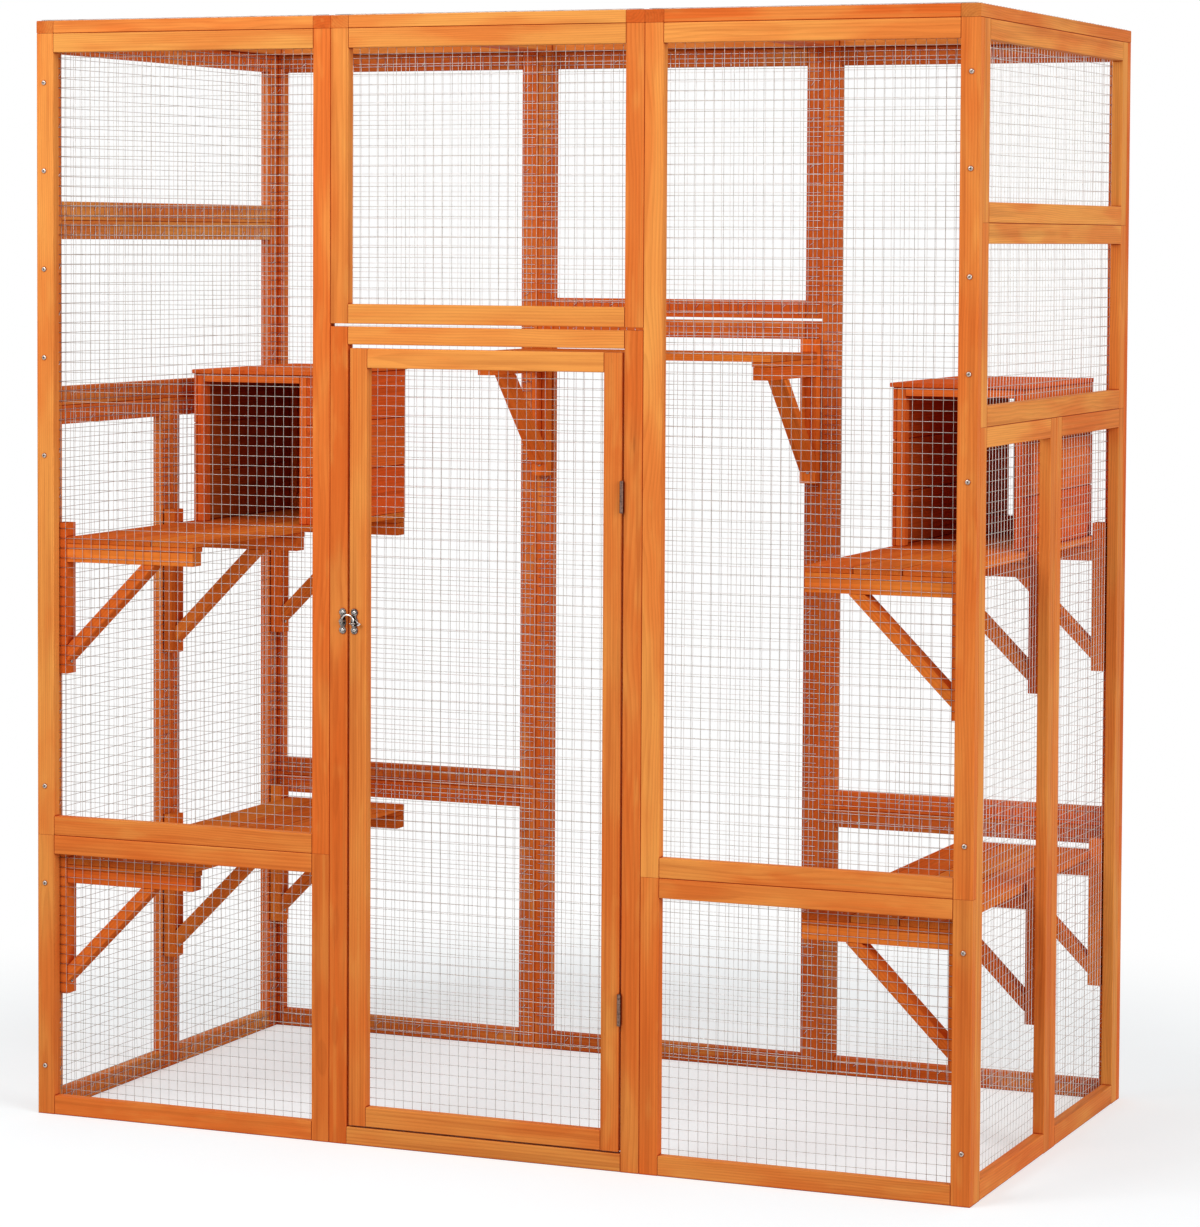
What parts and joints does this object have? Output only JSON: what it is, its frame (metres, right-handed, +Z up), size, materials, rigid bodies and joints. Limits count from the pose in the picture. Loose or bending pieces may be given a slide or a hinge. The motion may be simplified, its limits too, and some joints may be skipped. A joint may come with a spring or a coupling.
{
  "type": "outdoor cat enclosure",
  "caption": "Walk-in timber cat enclosure with wire mesh panels and roof, a hinged door with a hook latch, plank platforms on braced brackets and small timber houses.",
  "frame": {"origin": "middle of the footprint at the ground, taken over the whole object with the latch and the screw heads at the back", "axes": "+X to the right side seen from the door, +Y from the door to the back, +Z up"},
  "size_m": [1.8, 0.9626, 2.0196],
  "materials": {
    "frame_timber": "satin orange stain",
    "platform_timber": "satin orange brown stain",
    "house_timber": "satin orange brown stain",
    "mesh_wire": "galvanised",
    "zinc": "zinc plated"
  },
  "bodies": {
    "enclosure": {"front_left_tall": "frame_timber", "front_left_low": "frame_timber", "front_centre_top": "frame_timber", "door_frame": "frame_timber", "front_right_tall": "frame_timber", "front_right_low": "frame_timber", "back_left_tall": "frame_timber", "back_left_low": "frame_timber", "back_centre_top": "frame_timber", "back_centre_tall": "frame_timber", "back_right_tall": "frame_timber", "back_right_low": "frame_timber", "left_top": "frame_timber", "left_middle": "frame_timber", "left_front_tall": "frame_timber", "left_back_tall": "frame_timber", "right_top": "frame_timber", "right_middle": "frame_timber", "right_front_tall": "frame_timber", "right_back_tall": "frame_timber", "roof_left": "frame_timber", "roof_centre": "frame_timber", "roof_right": "frame_timber", "net_front_left": "mesh_wire", "net_front_centre": "mesh_wire", "net_front_right": "mesh_wire", "net_back": "mesh_wire", "net_left": "mesh_wire", "net_right": "mesh_wire", "net_roof": "mesh_wire", "deck_left_mid": "platform_timber", "deck_left_low": "platform_timber", "deck_right_mid": "platform_timber", "deck_right_low": "platform_timber", "deck_back": "platform_timber", "brackets_left_mid": "platform_timber", "brackets_left_low": "platform_timber", "brackets_right_mid": "platform_timber", "brackets_right_low": "platform_timber", "brackets_back": "platform_timber", "house_left_posts": "house_timber", "house_left_sides": "house_timber", "house_left_back": "house_timber", "house_left_roof": "house_timber", "house_right_posts": "house_timber", "house_right_sides": "house_timber", "house_right_back": "house_timber", "house_right_roof": "house_timber", "hinge_jamb": "zinc", "hinge_pins": "zinc", "latch_plate": "zinc", "panel_screws": "zinc"},
    "door": {"door_leaf": "frame_timber", "net_door": "mesh_wire", "hinge_door": "zinc", "latch_keeper": "zinc"},
    "hook": {"latch_hook": "zinc"}
  },
  "joints": [
    {"name": "door_swing", "type": "hinge", "parent": "enclosure", "child": "door", "pos_m": [0.263, -0.47465, 0.7315], "axis": [0, 0, 1], "range_deg": [0, 170]},
    {"name": "hook_lift", "type": "hinge", "parent": "enclosure", "child": "hook", "pos_m": [-0.2735, -0.4759, 0.941], "axis": [0, -1, 0], "range_deg": [0, 110]}
  ]
}
